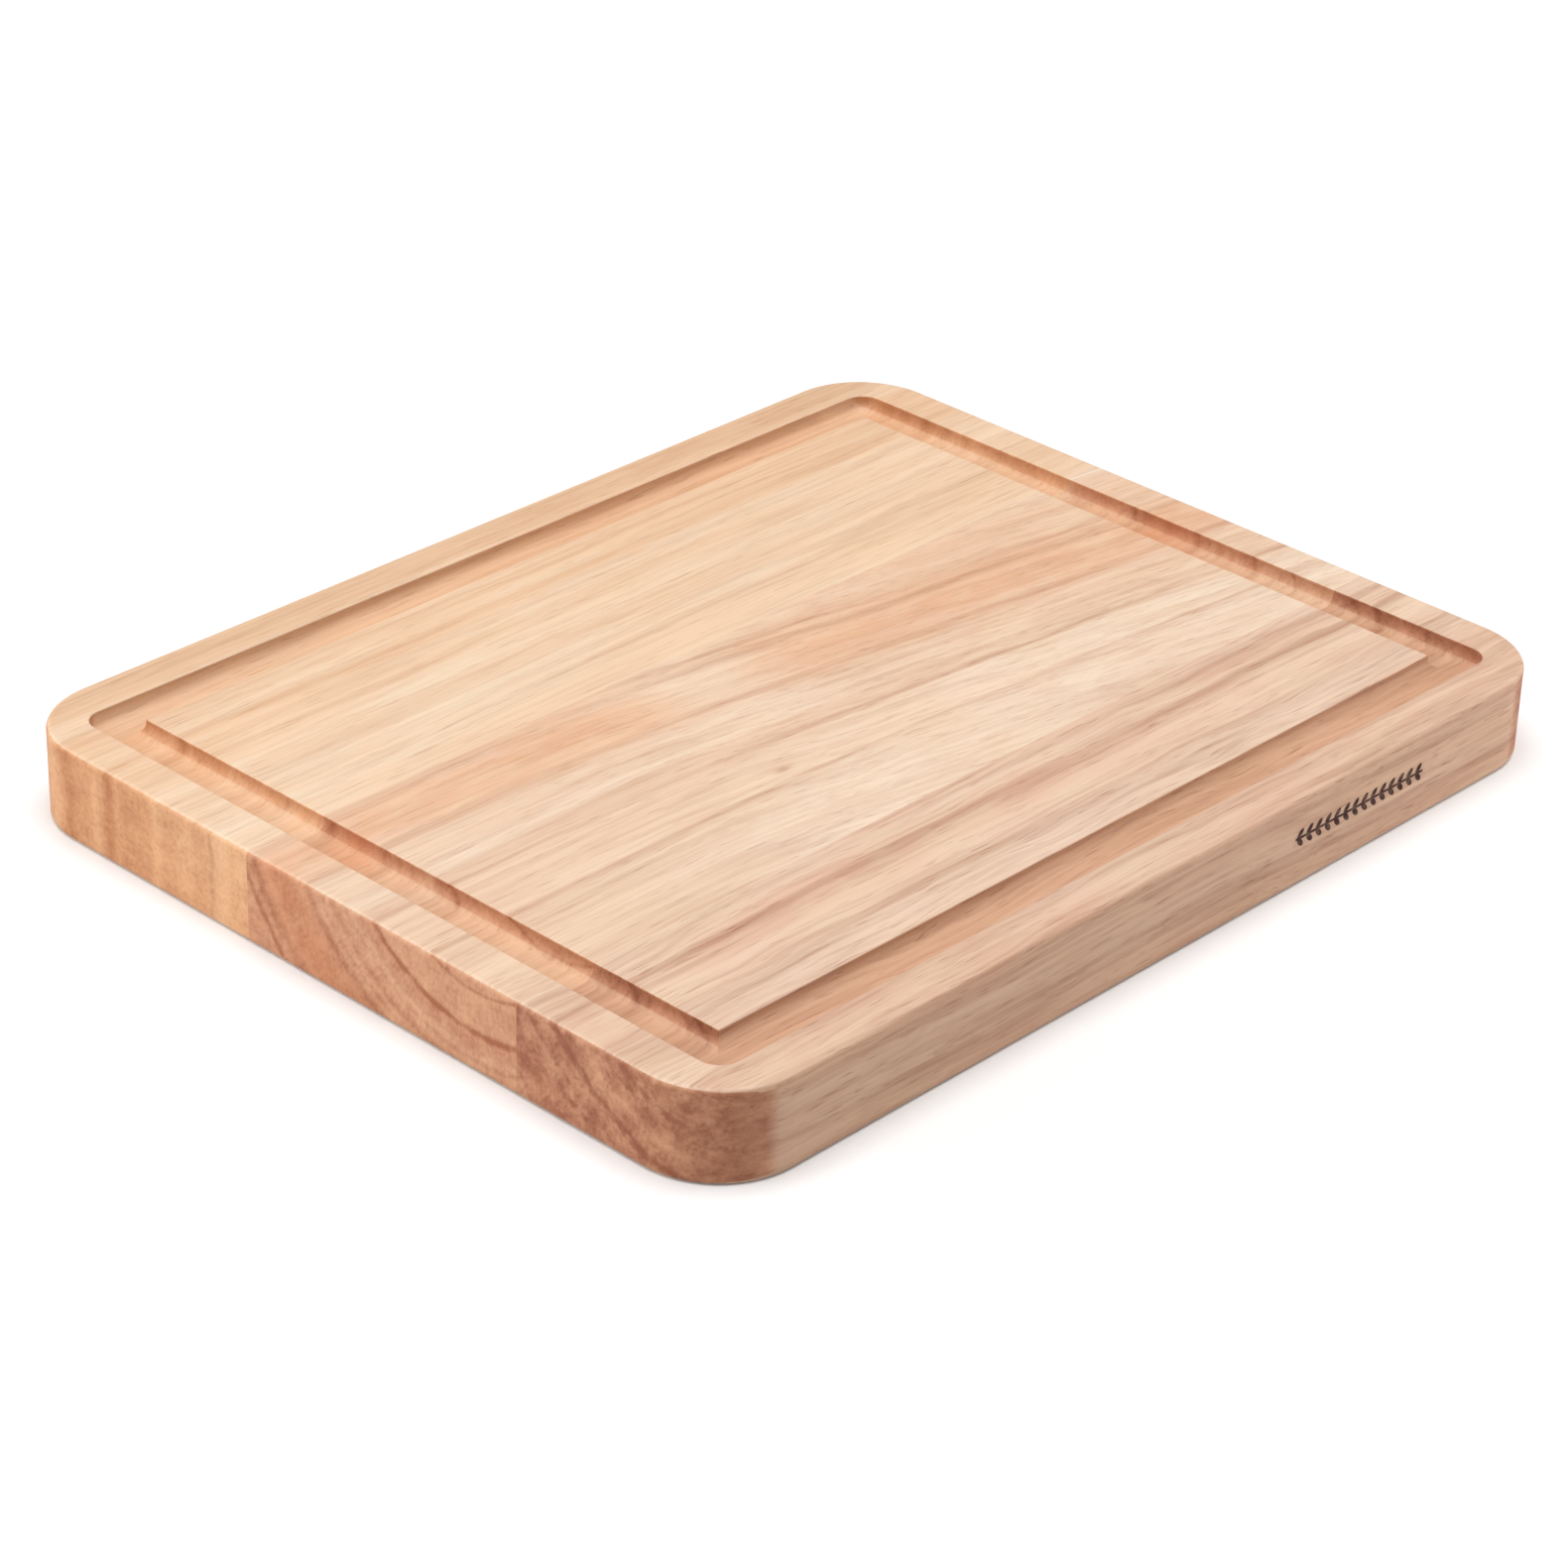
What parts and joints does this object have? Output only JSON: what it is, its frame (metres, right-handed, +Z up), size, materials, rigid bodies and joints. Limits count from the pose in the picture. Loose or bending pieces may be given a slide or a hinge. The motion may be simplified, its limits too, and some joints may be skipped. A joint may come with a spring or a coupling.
{
  "type": "grooved cutting board",
  "caption": "Flat rectangular hardwood cutting board with rounded corners, glued up from edge-joined staves, with a juice groove round its cutting face and a plain underside.",
  "frame": {"origin": "centre of the flat underside, on the surface that the board lies on", "axes": "+X along the grain and the board's length, +Y across the grain from the narrowest stave to the far side, +Z up through the grooved cutting face"},
  "size_m": [0.254, 0.2032, 0.0205],
  "materials": {
    "front_wood": "sanded and oiled, matt",
    "middle_wood": "sanded and oiled, matt",
    "back_wood": "sanded and oiled, matt"
  },
  "bodies": {
    "root": {"front_stave": "front_wood", "middle_stave": "middle_wood", "back_stave": "back_wood"}
  },
  "joints": []
}
